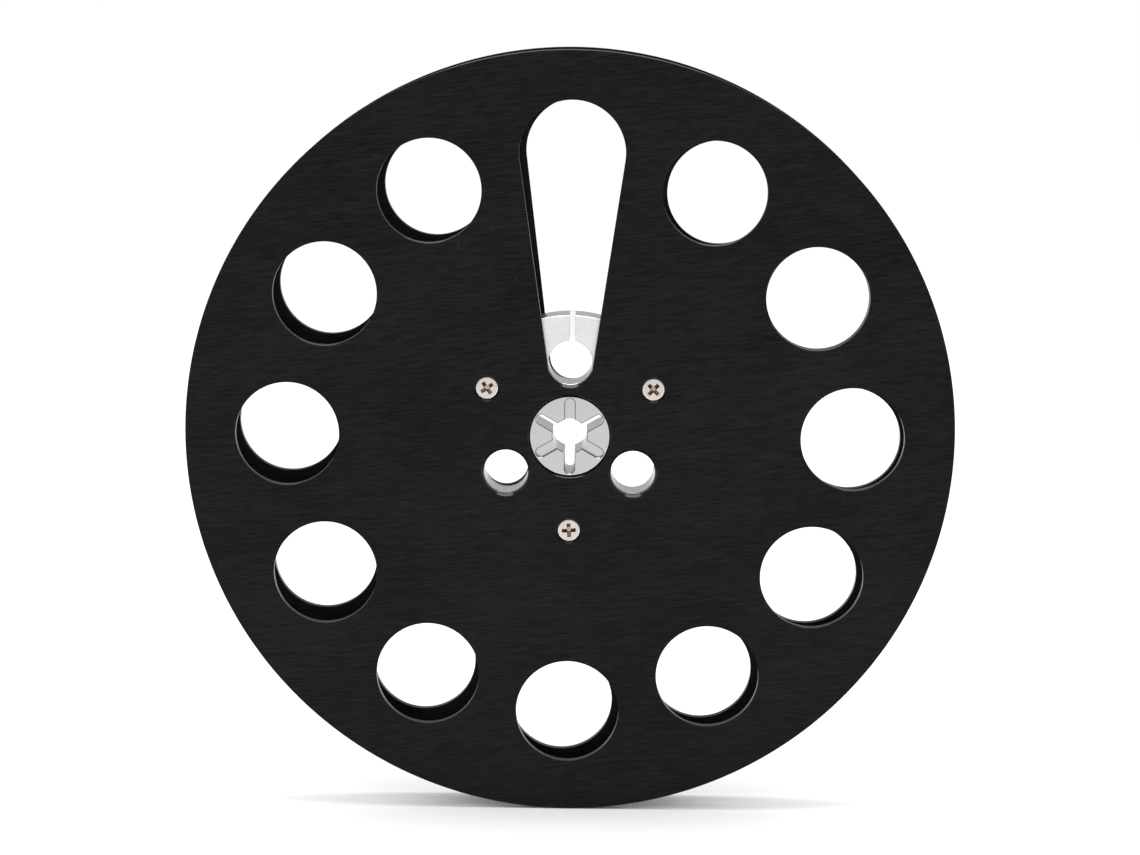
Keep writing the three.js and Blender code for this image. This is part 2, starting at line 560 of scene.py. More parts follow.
@dataclass(frozen=True)
class BrushedAnodising:
    """Dyed anodising over a straight brushed grain, with a few fine scratches and specks."""

    name: str
    dark: Colour
    light: Colour
    specular: float
    gloss: tuple[float, float]  # roughness in the grain's troughs and on its ridges
    grain_depth: float
    fine_grain: Pattern = Pattern((260.0, 900.0, 4200.0), 3.0)
    broad_grain: Pattern = Pattern((80.0, 300.0, 1900.0), 3.0)
    cloud: Pattern = Pattern((26.0, 26.0, 40.0), 3.0, (0.3, 0.7), (-0.1, 0.1))
    scratches: Pattern = Pattern((60.0, 90.0, 2600.0), 1.0, (0.7, 0.78), (0.0, 0.8), 0.4)
    specks: Pattern = Pattern((520.0, 520.0, 520.0), 0.0, (0.86, 0.88), (0.0, 1.5))
    grain_turn: float = 6.5  # degrees the grain rises to the right
    scratch_turn: float = 11.5
    tone_span: tuple[float, float] = (0.5, 1.0)  # of the grain, from dark to light
    gloss_span: tuple[float, float] = (0.45, 1.05)

    def make(self) -> bpy.types.Material:
        """Joins the grain, the cloud and the marks into one material.

        Returns:
            The material.
        """
        nodes = SurfaceNodes(self.name)
        fine = nodes.noise(self.fine_grain, self.grain_turn)
        broad = nodes.noise(self.broad_grain, self.grain_turn)
        streaks = nodes.combine("ADD", fine, nodes.combine("MULTIPLY", broad, fine))
        tone = nodes.combine("ADD", streaks, nodes.marks(self.cloud, self.grain_turn))
        scratches = nodes.marks(self.scratches, self.scratch_turn)
        wear = nodes.combine("ADD", scratches, nodes.marks(self.specks))
        factor = nodes.combine("ADD", nodes.remap(tone, self.tone_span, (0.0, 1.0)), wear)
        nodes.drive("Base Color", nodes.blend(factor, self.dark, self.light))
        nodes.drive("Roughness", nodes.remap(streaks, self.gloss_span, self.gloss))
        nodes.fix(Specular_IOR_Level=self.specular, Metallic=0.0)
        nodes.bump(fine, self.grain_depth, GRAIN_HEIGHT)
        return nodes.material


@dataclass(frozen=True)
class TurnedMetal:
    """Bare metal with turning marks about the reel's axis and a slight mottle."""

    name: str
    dark: Colour
    light: Colour
    gloss: tuple[float, float]  # roughness across the mottle
    marks: float  # strength of the turning marks
    mottle: Pattern = Pattern((900.0, 900.0, 900.0), 4.0)
    cloud: Pattern = Pattern((120.0, 120.0, 120.0), 2.0)
    tone_span: tuple[float, float] = (0.12, 0.4)  # of mottle times cloud, from dark to light
    gloss_span: tuple[float, float] = (0.3, 0.7)  # of the mottle
    ring_scale: float = 900.0
    ring_wander: float = 1.5
    ring_detail: float = 2.0

    def make(self) -> bpy.types.Material:
        """Joins the rings and the mottle into one material.

        Returns:
            The material.
        """
        nodes = SurfaceNodes(self.name)
        rings = nodes.add("ShaderNodeTexWave", wave_type="RINGS", rings_direction="Y")
        rings.inputs["Scale"].default_value = self.ring_scale
        rings.inputs["Distortion"].default_value = self.ring_wander
        rings.inputs["Detail"].default_value = self.ring_detail
        nodes.join(nodes.place((1.0, 1.0, 1.0)), rings.inputs["Vector"])
        mottle = nodes.noise(self.mottle)
        tone = nodes.combine("MULTIPLY", mottle, nodes.noise(self.cloud))
        factor = nodes.remap(tone, self.tone_span, (0.0, 1.0))
        nodes.drive("Base Color", nodes.blend(factor, self.dark, self.light))
        nodes.drive("Roughness", nodes.remap(mottle, self.gloss_span, self.gloss))
        nodes.fix(Metallic=1.0)
        nodes.bump(nodes.combine("ADD", rings.outputs["Fac"], mottle), self.marks, MARK_HEIGHT)
        return nodes.material


def greys(low: float, high: float) -> tuple[Colour, Colour]:
    """Returns two neutral colours."""
    return (low, low, low), (high, high, high)


FLANGE_FINISHES = {
    FlangeSkin.FACE: BrushedAnodising("black_face", *greys(0.0012, 0.0098), 0.1, (0.36, 0.5), 0.15),
    FlangeSkin.WALL: BrushedAnodising("black_wall", *greys(0.003, 0.006), 0.1, (0.25, 0.35), 0.05),
    FlangeSkin.EDGE: BrushedAnodising("black_edge", *greys(0.003, 0.005), 0.28, (0.18, 0.2), 0.01),
    FlangeSkin.SINK: BrushedAnodising("black_sink", *greys(0.001, 0.002), 0.2, (0.3, 0.4), 0.02),
    # darker and duller than the wall: painted shade on the rim and in the eye
    FlangeSkin.DULL_WALL: BrushedAnodising("dull_wall", *greys(0.001, 0.002), 0.05, (0.3, 0.4), 0.02),
    FlangeSkin.EYE_EDGE: BrushedAnodising("eye_edge", *greys(0.002, 0.003), 0.5, (0.14, 0.16), 0.01),
    FlangeSkin.FINGER_EDGE: BrushedAnodising(
        "finger_edge", *greys(0.003, 0.005), 0.45, (0.16, 0.18), 0.01
    ),
}
HUB_FINISHES = {
    HubSkin.BOSS: TurnedMetal("boss_face", *greys(0.465, 0.5), (0.2, 0.26), 0.02),
    HubSkin.WALL: TurnedMetal("bore_wall", *greys(0.6, 0.66), (0.3, 0.36), 0.02),
    # lighter than the faces: painted highlight on the hub's chamfers
    HubSkin.EDGE: TurnedMetal("hub_edge_highlight", *greys(0.76, 0.8), (0.32, 0.36), 0.0),
    HubSkin.DISC: TurnedMetal("disc_face", *greys(0.7, 0.78), (0.3, 0.36), 0.02),
    # lighter than the disc: painted highlight in the tape slot, as well as more gloss
    HubSkin.SLOT: TurnedMetal("slot_floor", *greys(0.78, 0.82), (0.05, 0.08), 0.0),
    # darker than the bore's wall: painted shade along the bore's edge
    HubSkin.MOUTH: TurnedMetal("bore_mouth_shade", *greys(0.24, 0.3), (0.12, 0.16), 0.0),
    # near black: painted shade on a boss's wall and round its foot
    HubSkin.BOSS_SHADE: TurnedMetal("boss_painted_shade", *greys(0.03, 0.05), (0.4, 0.5), 0.02),
}
SCREW_FINISHES = {
    ScrewSkin.BODY: TurnedMetal(
        "nickel_head", (0.56, 0.51, 0.46), (0.66, 0.61, 0.56), (0.26, 0.36), 0.1
    ),
    # darker and browner than the head: dirt in the recess, and painted shade
    ScrewSkin.RECESS: TurnedMetal(
        "nickel_recess", (0.3, 0.25, 0.2), (0.46, 0.39, 0.33), (0.12, 0.22), 0.1
    ),
    # lighter than the head: painted highlight on its edge
    ScrewSkin.CROWN: TurnedMetal(
        "nickel_crown_highlight", (0.86, 0.83, 0.79), (0.92, 0.89, 0.85), (0.26, 0.36), 0.05
    ),
}


# ---------------------------------------------------------------- flanges


@dataclass(frozen=True)
class Flange:
    """One flange: a thin disc with lightening holes, a threading window and finger holes."""

    side: Side
    pattern_turn: float = 0.0  # degrees, from +X towards +Z
    edge: float = 0.13  # narrow chamfer of the rim, the lightening holes and the window
    eye_edge: float = 0.15
    finger_edge: float = 0.48  # wide chamfer of the finger holes and the window's foot
    least_slope: float = 0.1  # of a chamfer's face, as the Y of its normal
    hole_r: float = 12.0
    hole_pitch_r: float = 65.4
    hole_places: int = 12
    window_r: float = 12.2  # of the threading window's top
    finger_r: float = REEL.finger_r + 0.1  # a little clear of the hub's finger hole
    finger_angles: tuple[float, ...] = (210.0, 330.0)  # the third lies in the window's foot
    eye_r: float = REEL.boss_r + 0.35  # a slit wider than the boss
    sink_r: float = REEL.head_r + 0.6  # a countersink's mouth
    steps: int = 96  # round a hole
    rim_steps: int = 360

    @property
    def outer(self) -> float:
        """Returns the Y of the outer face."""
        return self.side.value * REEL.face_y

    @property
    def inner(self) -> float:
        """Returns the Y of the face that lies on the hub."""
        return self.side.value * REEL.seat_y

    def threading_window(self, grow: float) -> tuple[Arc, ...]:
        """Draws the window's outline: two round ends joined by the lines that touch both.

        Args:
            grow: How far it grows at its foot, where the chamfer is as wide as a finger hole's. The
                foot slides towards the reel's axis first, and only then does all of it widen.

        Returns:
            The outline's two arcs.
        """
        slide = min(grow, self.finger_edge - self.edge)
        widen, foot_z = grow - slide, REEL.finger_pitch_r - slide
        lean = math.degrees(math.asin((self.window_r - self.finger_r) / (self.hole_pitch_r - foot_z)))
        top = Arc(0.0, self.hole_pitch_r, self.window_r + widen, -lean, 180.0 + 2 * lean, self.steps)
        foot_r, foot_steps = self.finger_r + widen, self.steps // 2
        foot = Arc(0.0, foot_z, foot_r, 180.0 + lean, 180.0 - 2 * lean, foot_steps)
        return turned((top, foot), self.pattern_turn)

    def window_wall(self, bm: BMesh) -> tuple[Loop, Loop]:
        """Builds the threading window's wall, with a narrow chamfer that widens at its foot.

        Args:
            bm: The mesh to build in.

        Returns:
            The edges of the loop in the outer face and of the one in the inner face.
        """
        wide, narrow, face_y = self.finger_edge, self.edge, REEL.face_y
        levels = (wide, face_y), (wide - narrow, face_y - narrow), (0.0, face_y - wide), (0.0, REEL.seat_y)
        loops = [draw_loop(bm, self.threading_window(grow), self.side.value * y) for grow, y in levels]
        skins = FlangeSkin.EDGE, FlangeSkin.FINGER_EDGE, FlangeSkin.WALL
        for near, far, skin in zip(loops, loops[1:], skins):
            faces = bmesh.ops.bridge_loops(bm, edges=near + far)["faces"]
            paint(faces, FlangeSkin.WALL)
            for face in faces:
                face.normal_update()
            paint([face for face in faces if abs(face.normal.y) > self.least_slope], skin)
        return loops[0], loops[-1]

    def wall(self, outline: Outline, edge: float, skin: FlangeSkin, edge_skin: FlangeSkin) -> Wall:
        """Returns a wall through the flange, with a chamfer at its outer face."""
        return Wall(outline, self.outer, self.inner, edge, 0.0, skin, edge_skin)

    def round_holes(self, pitch_r: float, angles: Iterable[float], radius: float) -> list[Outline]:
        """Returns the outlines of holes on a circle about the reel's axis."""
        places = [polar(pitch_r, angle + self.pattern_turn) for angle in angles]
        return [ring(x, z, radius, self.steps) for x, z in places]

    def walls(self) -> list[Wall]:
        """Lists the walls of the rim, the eye and the round holes.

        Returns:
            The walls; the threading window takes the top place among the lightening holes.
        """
        rim = ring(0.0, 0.0, REEL.rim_r, self.rim_steps, -1.0)
        eye = ring(0.0, 0.0, self.eye_r, 2 * self.steps)
        made = [
            self.wall(rim, self.edge, FlangeSkin.DULL_WALL, FlangeSkin.EDGE),
            self.wall(eye, self.eye_edge, FlangeSkin.DULL_WALL, FlangeSkin.EYE_EDGE),
        ]
        step = FULL_TURN / self.hole_places
        angles = [90.0 + i * step for i in range(1, self.hole_places)]
        for hole in self.round_holes(self.hole_pitch_r, angles, self.hole_r):
            made.append(self.wall(hole, self.edge, FlangeSkin.WALL, FlangeSkin.EDGE))
        for hole in self.round_holes(REEL.finger_pitch_r, self.finger_angles, self.finger_r):
            made.append(self.wall(hole, self.finger_edge, FlangeSkin.WALL, FlangeSkin.FINGER_EDGE))
        return made

    def countersink(self, bm: BMesh, angle: float) -> tuple[Loop, Loop]:
        """Builds a screw's hole and the cone that its head sits in.

        Args:
            bm: The mesh to build in.
            angle: The screw's place round the reel, in degrees.

        Returns:
            The edges of the cone's mouth and of the hole's end.
        """
        x, z = polar(REEL.screw_pitch_r, angle + self.pattern_turn)
        neck = self.side.value * (REEL.face_y - (self.sink_r - REEL.clearance_r))
        hole = ring(x, z, REEL.clearance_r, self.steps // 2)
        mouth = draw_loop(bm, ring(x, z, self.sink_r, self.steps // 2)(0.0), self.outer)
        throat, end = plain_wall(hole, neck, self.inner, FlangeSkin.WALL).build(bm)
        paint(bmesh.ops.bridge_loops(bm, edges=mouth + throat)["faces"], FlangeSkin.SINK)
        return mouth, end

    def build(self, skins: Skins, node: str) -> bpy.types.Object:
        """Builds the flange and dresses it.

        Args:
            skins: The flange's materials.
            node: The CAD node that it replaces.

        Returns:
            The new object.
        """
        bm = bmesh.new()
        ends = [self.window_wall(bm)]
        ends += [wall.build(bm) for wall in self.walls()]
        ends += [self.countersink(bm, angle) for angle in REEL.screw_angles]
        cap(bm, [near for near, far in ends], self.side, FlangeSkin.FACE)
        cap(bm, [far for near, far in ends], self.side.other(), FlangeSkin.FACE)
        return finish_piece(bm, node, skins)


# ---------------------------------------------------------------- hub


@dataclass(frozen=True)
class Hub:
    """The hub: a thick disc with a boss on each face, a splined bore, finger holes and a tape slot."""

    rim_r: float = 28.0
    rim_edge: float = 0.1
    seat_y: float = REEL.seat_y
    boss_y: float = REEL.face_y - REEL.boss_setback
    boss_edge: float = 0.1
    shade_ring: float = 0.65  # width of the ring of painted shade round a boss's foot
    bore_r: float = 4.0
    bore_edge: float = 0.16
    wing_half: float = 1.15  # half the width of a wing's slot
    wing_margin: float = 0.4  # from a wing slot's end to the boss's edge
    wing_angles: tuple[float, ...] = (30.0, 90.0, 150.0, 210.0, 270.0, 330.0)
    pocket_angles: tuple[float, ...] = (90.0, 210.0, 330.0)  # towards the finger holes
    pocket_depth: float = 1.0
    slot_half: float = 0.675  # half the tape slot's width
    slot_x: float = 0.4  # its middle
    slot_floor: float = 1.2  # thickness of the metal behind it
    slot_edge_share: float = 0.4  # of the rim's chamfer, on the tape slot
    gloss_from: float = 0.9  # of the finger hole's radius, where the tape slot's gloss starts
    gloss_to: float = 0.99  # of the rim's radius, where it ends
    gloss_width: float = 1.5  # of the slot's width
    tap_floor_y: float = 0.45
    steps: int = 96  # round a finger hole
    wing_tip_steps: int = 16
    bore_steps: int = 8  # between two wing slots
    slot_rim_steps: int = 4  # across the slot's floor
    slot_foot_steps: int = 6
    tap_steps: int = 32

    def wing_tip(self, angle: float, half: float) -> Arc:
        """Returns the round end of a wing's slot."""
        x, z = polar(REEL.boss_r - self.wing_margin - self.wing_half, angle)
        return Arc(x, z, half, angle - 90.0, 180.0, self.wing_tip_steps)

    def star(self, grow: float) -> tuple[Arc, ...]:
        """Draws the bore's outline with its six wing slots.

        Args:
            grow: How far it grows into the metal.

        Returns:
            The outline's arcs.
        """
        half, bore = self.wing_half + grow, self.bore_r + grow
        corner = math.degrees(math.asin(half / bore))
        between = FULL_TURN / len(self.wing_angles) - 2 * corner
        arcs: list[Arc] = []
        for angle in self.wing_angles:
            arcs.append(self.wing_tip(angle, half))
            arcs.append(Arc(0.0, 0.0, bore, angle + corner, between, self.bore_steps))
        return tuple(arcs)

    def pocket_fill(self, angle: float) -> Outline:
        """Draws the metal that closes one wing slot between its two pockets.

        Args:
            angle: The slot's place round the bore, in degrees.

        Returns:
            The block's outline, which doesn't grow.
        """
        corner = math.degrees(math.asin(self.wing_half / self.bore_r))
        mouth = Arc(0.0, 0.0, self.bore_r, angle + corner, -2 * corner, self.bore_steps)
        return lambda grow: (self.wing_tip(angle, self.wing_half), mouth)

    def rim(self, grow: float) -> tuple[Arc, ...]:
        """Draws the rim's outline, which runs in along the tape slot and round the top finger hole.

        Args:
            grow: How far it grows into the metal.

        Returns:
            The outline's two arcs.
        """
        rim_r, hole_r = self.rim_r - grow, REEL.finger_r + grow
        half = self.slot_half + grow * self.slot_edge_share
        out_left, out_right = crossings(rim_r, self.slot_x - half, self.slot_x + half)
        in_left, in_right = crossings(hole_r, self.slot_x - half, self.slot_x + half)
        rim_sweep, hole_sweep = FULL_TURN - (out_left - out_right), FULL_TURN - (in_left - in_right)
        return (
            Arc(0.0, 0.0, rim_r, out_left, rim_sweep, 4 * self.steps),
            Arc(0.0, REEL.finger_pitch_r, hole_r, in_right, -hole_sweep, self.steps),
        )

    def slot_fill(self, grow: float) -> tuple[Arc, ...]:
        """Draws the metal behind the tape slot.

        Args:
            grow: How far the rim and the finger hole grow into it.

        Returns:
            The outline's two arcs.
        """
        rim_r, hole_r = self.rim_r - grow, REEL.finger_r + grow
        left, right = self.slot_x - self.slot_half, self.slot_x + self.slot_half
        out_left, out_right = crossings(rim_r, left, right)
        in_left, in_right = crossings(hole_r, left, right)
        foot_sweep = -(in_left - in_right)
        return (
            Arc(0.0, 0.0, rim_r, out_right, out_left - out_right, self.slot_rim_steps),
            Arc(0.0, REEL.finger_pitch_r, hole_r, in_left, foot_sweep, self.slot_foot_steps),
        )

    def slot_faces(self, bm: BMesh) -> list[BMFace]:
        """Finds the tape slot's two sides, once the rim is built.

        Args:
            bm: The mesh that holds the disc's walls.

        Returns:
            The faces of the slot's sides, and of the finger hole's lip beside them.
        """
        nearest = (REEL.finger_pitch_r + self.gloss_from * REEL.finger_r) * MM
        farthest, reach = self.gloss_to * self.rim_r * MM, self.gloss_width * self.slot_half * MM
        made = []
        for face in bm.faces:
            middle = face.calc_center_median()
            if nearest < middle.z < farthest and abs(middle.x - self.slot_x * MM) < reach:
                made.append(face)
        return made

    def tapped_hole(self, bm: BMesh, side: Side, angle: float) -> Loop:
        """Builds one blind screw hole.

        Args:
            bm: The mesh to build in.
            side: The face that it is drilled in.
            angle: The screw's place round the front face, in degrees.

        Returns:
            The edges of its mouth.
        """
        x, z = polar(REEL.screw_pitch_r, angle + (REEL.rear_turn if side is Side.REAR else 0.0))
        outline = ring(x, z, REEL.clearance_r, self.tap_steps)
        mouth_y, floor_y = side.value * self.seat_y, side.value * self.tap_floor_y
        mouth, floor = plain_wall(outline, mouth_y, floor_y, HubSkin.WALL).build(bm)
        cap(bm, [floor], side, HubSkin.WALL)
        return mouth

    def disc_walls(self, bm: BMesh) -> dict[Side, list[Loop]]:
        """Builds the rim, the tape slot and the finger holes.

        Args:
            bm: The mesh to build in.

        Returns:
            For each side, the edges where these walls meet the disc's face.
        """
        outlines = [self.rim]
        for angle in self.pocket_angles[1:]:
            outlines.append(ring(*polar(REEL.finger_pitch_r, angle), REEL.finger_r, self.steps))
        seat, edge = self.seat_y, self.rim_edge
        walls = [Wall(line, -seat, seat, edge, edge, HubSkin.WALL, HubSkin.EDGE) for line in outlines]
        mouths = [wall.build(bm) for wall in walls]
        # the slot's sides, and the lip beside them, take the lighter skin as painted highlight
        paint(self.slot_faces(bm), HubSkin.SLOT)
        return {
            Side.FRONT: [near for near, far in mouths],
            Side.REAR: [far for near, far in mouths],
        }

    def bore(self, bm: BMesh) -> dict[Side, Loop]:
        """Builds the bore's wall.

        Args:
            bm: The mesh to build in.

        Returns:
            The edges of its mouth on each side.
        """
        top, edge = self.boss_y, self.bore_edge
        # the bore's chamfered edges take the darker skin, as painted shade
        front, rear = Wall(self.star, -top, top, edge, edge, HubSkin.WALL, HubSkin.MOUTH).build(bm)
        return {Side.FRONT: front, Side.REAR: rear}

    def boss(self, bm: BMesh, side: Side, mouth: Loop) -> Loop:
        """Builds one boss, and the ring of painted shade round its foot.

        Args:
            bm: The mesh to build in.
            side: The face that it stands on.
            mouth: The bore's edges on that side.

        Returns:
            The edges of the ring of painted shade, which the disc's face joins.
        """
        top, foot = side.value * self.boss_y, side.value * self.seat_y
        boss = ring(0.0, 0.0, REEL.boss_r, 2 * self.steps, -1.0)
        # the boss's wall, and the ring round its foot below, are painted near black as shade
        wall = Wall(boss, top, foot, self.boss_edge, 0.0, HubSkin.BOSS_SHADE, HubSkin.EDGE)
        face_edges, foot_edges = wall.build(bm)
        cap(bm, [face_edges, mouth], side, HubSkin.BOSS)
        shade_ring = draw_loop(bm, ring(0.0, 0.0, REEL.boss_r + self.shade_ring, 2 * self.steps)(0.0), foot)
        paint(bmesh.ops.bridge_loops(bm, edges=foot_edges + shade_ring)["faces"], HubSkin.BOSS_SHADE)
        return shade_ring

    def fillers(self, bm: BMesh) -> None:
        """Builds the metal between each pair of pockets, and behind the tape slot.

        Args:
            bm: The mesh to build in.
        """
        floor_y = self.boss_y - self.pocket_depth
        for angle in self.pocket_angles:
            filler(bm, plain_wall(self.pocket_fill(angle), -floor_y, floor_y, HubSkin.BOSS))
        # the metal behind the tape slot takes the lighter skin, as painted highlight
        floor_y, edge = self.seat_y - self.slot_floor, self.rim_edge
        filler(bm, Wall(self.slot_fill, floor_y, self.seat_y, 0.0, edge, HubSkin.SLOT, HubSkin.EDGE))

    def build(self, skins: Skins, node: str) -> bpy.types.Object:
        """Builds the hub and dresses it.

        Args:
            skins: The hub's materials.
            node: The CAD node that it replaces.

        Returns:
            The new object.
        """
        bm = bmesh.new()
        seats = self.disc_walls(bm)
        mouths = self.bore(bm)
        for side in Side:
            seats[side].append(self.boss(bm, side, mouths[side]))
            seats[side] += [self.tapped_hole(bm, side, angle) for angle in REEL.screw_angles]
            cap(bm, seats[side], side, HubSkin.DISC)
        self.fillers(bm)
        return finish_piece(bm, node, skins)


# ---------------------------------------------------------------- screws


@dataclass(frozen=True)
class Screw:
    """A countersunk screw with a cross recess, seated in one face of the reel."""

    side: Side
    angle: float  # place round the reel, in degrees
    drive_turn: float  # degrees, how the recess came to rest
    top_y: float = REEL.face_y - REEL.head_setback
    head_r: float = REEL.head_r
    land: float = 0.15  # height of the head's upright edge
    crown: float = 0.18  # width of the head's chamfered edge, which is painted lighter as a highlight
    crown_fall: float = 0.08
    thread_r: float = 1.25
    root_r: float = 1.05
    thread_pitch: float = 0.45
    length: float = 5.0
    tip_height: float = 0.05
    tip_width: float = 0.2
    drive_span: float = 3.55
    drive_width: float = 0.92
    drive_depth: float = 1.5
    drive_point: float = 0.5  # radius of the pit at the bottom
    drive_core: float = 0.75  # and at the top, where it opens the cross's inner corners
    drive_taper: float = 0.6  # a bar's width at the bottom over its width at the top
    drive_over: float = 0.2  # how far the cutter stands out of the head
    steps: int = 64
    pit_steps: int = 24

    def profile(self) -> list[tuple[float, float]]:
        """Draws the screw's half section.

        Returns:
            Its corners, as radius and depth below the head's top.
        """
        cone_end = self.land + self.head_r - self.thread_r
        points = [(0.0, 0.0), (self.head_r - self.crown, 0.0), (self.head_r, self.crown_fall)]
        points += [(self.head_r, self.land), (self.thread_r, cone_end)]
        depth = cone_end + self.thread_pitch / 2
        while depth + self.thread_pitch < self.length:
            points += [(self.root_r, depth), (self.thread_r, depth + self.thread_pitch / 2)]
            depth += self.thread_pitch
        points.append((self.root_r, self.length - self.tip_height))
        return points + [(self.root_r - self.tip_width, self.length), (0.0, self.length)]

    def place(self) -> Matrix:
        """Works out the screw's seat.

        Returns:
            The move from the screw's own frame, with +Z out of its head, to the reel's.
        """
        x, z = polar(REEL.screw_pitch_r, self.angle)
        out = Vector((0.0, self.side.value, 0.0))
        turn = out.to_track_quat("Z", "X").to_matrix().to_4x4()
        return Matrix.Translation(Vector((x, self.side.value * self.top_y, z)) * MM) @ turn

    def body(self) -> BMesh:
        """Spins the half section about the screw's axis.

        Returns:
            The screw before its recess is cut.
        """
        bm = bmesh.new()
        places = [Vector((r, 0.0, -depth)) * MM for r, depth in self.profile()]
        chain = [bmesh.ops.create_vert(bm, co=place)["vert"][0] for place in places]
        edges = [bm.edges.new(pair) for pair in zip(chain, chain[1:])]
        bmesh.ops.spin(
            bm, geom=chain + edges, cent=(0.0, 0.0, 0.0), axis=(0.0, 0.0, 1.0),
            angle=math.radians(FULL_TURN), steps=self.steps, use_merge=True,
        )
        bmesh.ops.remove_doubles(bm, verts=bm.verts, dist=DOUBLES_GAP)
        bmesh.ops.recalc_face_normals(bm, faces=bm.faces)
        return bm

    def crown_faces(self, bm: BMesh) -> list[BMFace]:
        """Finds the head's chamfered edge, painted lighter as a highlight, in the screw's own frame.

        Args:
            bm: The screw's mesh.

        Returns:
            The faces past the crown's inner circle and above the cone.
        """
        inner, low = (self.head_r - self.crown) * MM, -self.land * MM
        made = []
        for face in bm.faces:
            middle = face.calc_center_median()
            if middle.xy.length > inner and middle.z > low:
                made.append(face)
        return made

    def recess(self) -> BMesh:
        """Builds the cross-shaped cutter: two tapered bars and a cone that opens their crossing.

        Returns:
            The cutter, in the screw's own frame.
        """
        bm = bmesh.new()
        tall = self.drive_depth + self.drive_over
        rise = Vector((0.0, 0.0, self.drive_over - tall / 2)) * MM
        for quarter in (0.0, 90.0):
            bar = bmesh.ops.create_cube(bm, size=1.0)["verts"]
            size = Vector((self.drive_span, self.drive_width, tall)) * MM
            bmesh.ops.scale(bm, vec=size, verts=bar)
            low = [vert for vert in bar if vert.co.z < 0.0]
            narrow = 2 * self.drive_point / self.drive_span
            bmesh.ops.scale(bm, vec=(narrow, self.drive_taper, 1.0), verts=low)
            bmesh.ops.translate(bm, vec=rise, verts=bar)
            turn = Matrix.Rotation(math.radians(self.drive_turn + quarter), 3, "Z")
            bmesh.ops.rotate(bm, matrix=turn, verts=bar)
        core = bmesh.ops.create_cone(
            bm, cap_ends=True, segments=self.pit_steps, radius1=self.drive_point * MM,
            radius2=self.drive_core * MM, depth=tall * MM,
        )["verts"]
        bmesh.ops.translate(bm, vec=rise, verts=core)
        return bm

    def cut_recess(self, skins: Skins, node: str) -> BMesh:
        """Cuts the recess out of the body.

        Args:
            skins: The screw's materials.
            node: The CAD node that the screw replaces.

        Returns:
            The screw's mesh, in its own frame.
        """
        solids = []
        sources = ("blank", self.body(), ScrewSkin.BODY), ("cutter", self.recess(), ScrewSkin.RECESS)
        for label, source, skin in sources:
            paint(source.faces, skin)
            mesh = bpy.data.meshes.new(node + "_" + label)
            source.to_mesh(mesh)
            source.free()
            for material in skins:
                mesh.materials.append(material)
            solid = bpy.data.objects.new(mesh.name, mesh)
            bpy.context.scene.collection.objects.link(solid)
            solids.append(solid)
        blank, cutter = solids
        cut = blank.modifiers.new("recess", "BOOLEAN")
        cut.operation, cut.solver, cut.object, cut.use_self = "DIFFERENCE", "EXACT", cutter, True
        shaped = blank.evaluated_get(bpy.context.evaluated_depsgraph_get()).to_mesh()
        bm = bmesh.new()
        bm.from_mesh(shaped)
        for solid in solids:
            bpy.data.objects.remove(solid)
        return bm

    def build(self, skins: Skins, node: str) -> bpy.types.Object:
        """Builds the screw in its seat and dresses it.

        Args:
            skins: The screw's materials.
            node: The CAD node that it replaces.

        Returns:
            The new object.
        """
        bm = self.cut_recess(skins, node)
        paint(self.crown_faces(bm), ScrewSkin.CROWN)
        bmesh.ops.transform(bm, matrix=self.place(), verts=bm.verts)
        return finish_piece(bm, node, skins)


# ---------------------------------------------------------------- stage


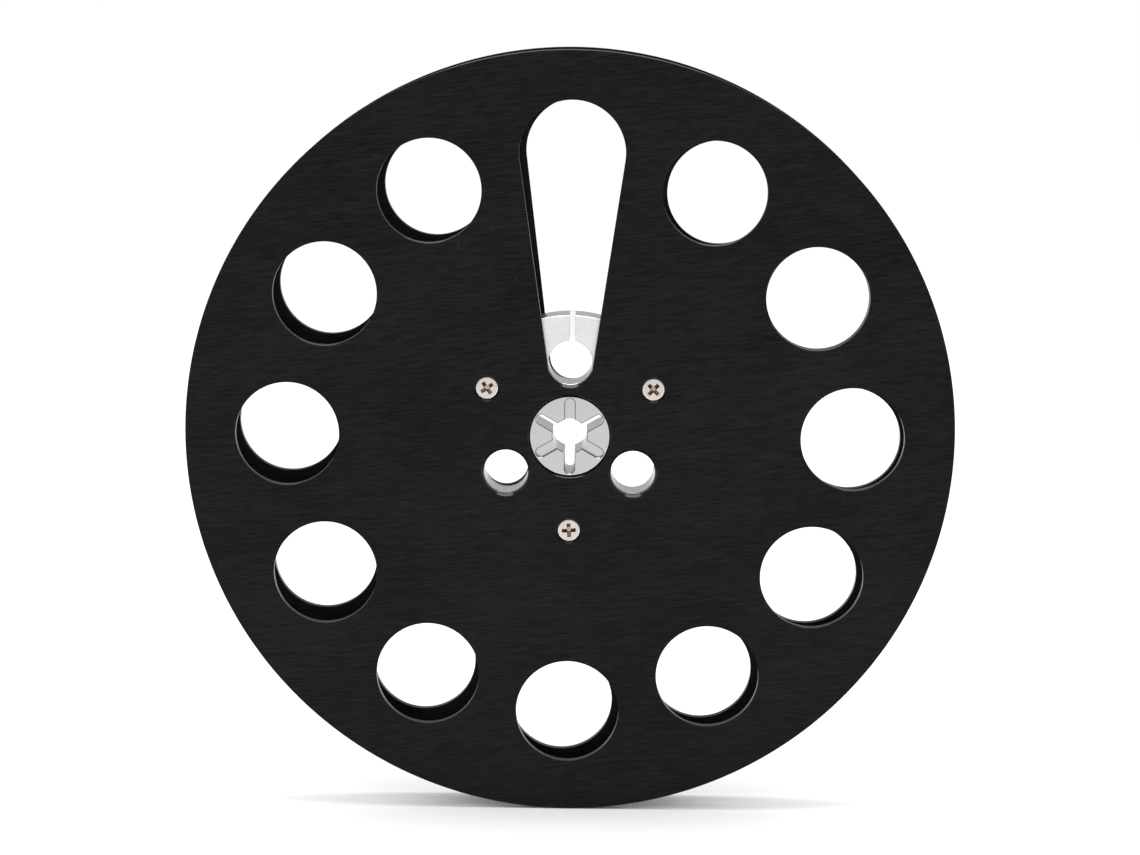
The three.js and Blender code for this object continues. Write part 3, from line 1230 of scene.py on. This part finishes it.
@dataclass(frozen=True)
class Stage:
    """A pale floor, soft light and the camera; sizes are in metres."""

    camera_at: tuple[float, float, float] = (0.005538, -0.720661, 0.123893)
    camera_turn: tuple[float, float, float] = (80.3265, -0.5494, 0.5342)  # degrees
    lens: float = 99.035  # millimetres
    sensor: float = 36.0
    clip: tuple[float, float] = (0.01, 50.0)
    floor_size: float = 8.0
    floor_gap: float = 0.0001  # under the rim
    floor_grey: float = 0.92
    sky: float = 1.12  # fill light, and what shows above the floor
    room_front: float = 0.55  # what the metal mirrors towards the camera
    room_back: float = 0.62
    room_top: float = 0.3
    room_top_from: float = 0.2  # rise at which the room starts to turn into its top
    lamp_size: tuple[float, float] = (0.75, 0.42)
    lamp_height: float = 0.9
    lamp_power: float = 5.4  # watts

    def camera(self) -> None:
        """Adds the camera and makes it the scene's."""
        data = bpy.data.cameras.new("camera")
        data.sensor_width, data.lens = self.sensor, self.lens
        data.clip_start, data.clip_end = self.clip
        made = bpy.data.objects.new("camera", data)
        made.location = self.camera_at
        made.rotation_euler = Euler([math.radians(a) for a in self.camera_turn], "XYZ")
        bpy.context.scene.collection.objects.link(made)
        bpy.context.scene.camera = made

    def floor(self) -> None:
        """Adds the floor, with a matt pale finish."""
        bm = bmesh.new()
        bmesh.ops.create_grid(bm, x_segments=2, y_segments=2, size=self.floor_size)
        bmesh.ops.translate(bm, vec=(0.0, 0.0, CAD_LOW.z - self.floor_gap), verts=bm.verts)
        mesh = bpy.data.meshes.new("floor")
        bm.to_mesh(mesh)
        bm.free()
        nodes = SurfaceNodes("floor_paint")
        grey = self.floor_grey
        nodes.fix(Base_Color=(grey, grey, grey, 1.0), Roughness=0.9, Specular_IOR_Level=0.1)
        mesh.materials.append(nodes.material)
        made = bpy.data.objects.new("floor", mesh)
        bpy.context.scene.collection.objects.link(made)

    def room(self) -> None:
        """Adds an even white sky, with a dimmer room for the metal to mirror."""
        world = bpy.data.worlds.new("studio")
        world.use_nodes = True
        nodes = Nodes(world.node_tree)
        way = nodes.add("ShaderNodeSeparateXYZ")
        nodes.join(nodes.add("ShaderNodeTexCoord").outputs["Generated"], way.inputs["Vector"])
        around = nodes.remap(way.outputs["Y"], (-1.0, 1.0), (self.room_front, self.room_back))
        rise = nodes.remap(way.outputs["Z"], (self.room_top_from, 1.0), (0.0, 1.0))
        mirrored = nodes.between(rise, around, self.room_top)
        glossy = nodes.add("ShaderNodeLightPath").outputs["Is Glossy Ray"]
        background = nodes.add("ShaderNodeBackground")
        background.inputs["Color"].default_value = (1.0, 1.0, 1.0, 1.0)
        nodes.join(nodes.between(glossy, self.sky, mirrored), background.inputs["Strength"])
        output = nodes.add("ShaderNodeOutputWorld")
        nodes.join(background.outputs["Background"], output.inputs["Surface"])
        bpy.context.scene.world = world

    def lamp(self) -> None:
        """Adds a soft box straight above the reel."""
        data = bpy.data.lights.new("overhead", "AREA")
        data.shape, data.energy = "RECTANGLE", self.lamp_power
        data.size, data.size_y = self.lamp_size
        made = bpy.data.objects.new("overhead", data)
        made.location = (0.0, 0.0, self.lamp_height)
        bpy.context.scene.collection.objects.link(made)

    def build(self) -> None:
        """Sets the stage and the colour management."""
        self.camera()
        self.floor()
        self.room()
        self.lamp()
        bpy.context.scene.view_settings.view_transform = "Standard"
        bpy.context.scene.view_settings.look = "None"


def main() -> None:
    """Builds every piece in order and sets the stage."""
    logging.basicConfig(level=logging.INFO, format="%(name)s: %(message)s")
    flange_skins = [FLANGE_FINISHES[skin].make() for skin in FlangeSkin]
    hub_skins = [HUB_FINISHES[skin].make() for skin in HubSkin]
    screw_skins = [SCREW_FINISHES[skin].make() for skin in ScrewSkin]
    pieces = [
        Flange(Side.FRONT).build(flange_skins, "front_flange"),
        Flange(Side.REAR, REEL.rear_turn).build(flange_skins, "rear_flange"),
        Hub().build(hub_skins, "hub"),
    ]
    for i, (angle, turn) in enumerate(zip(REEL.screw_angles, REEL.screw_turns), start=1):
        front = Screw(Side.FRONT, angle, turn)
        rear = Screw(Side.REAR, angle + REEL.rear_turn, -turn)
        pieces.append(front.build(screw_skins, f"front_screw_{i}"))
        pieces.append(rear.build(screw_skins, f"rear_screw_{i}"))
    LOG.info("%d pieces stand for %d nodes", len(pieces), len(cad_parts))
    Stage().build()


if __name__ == "__main__":
    main()
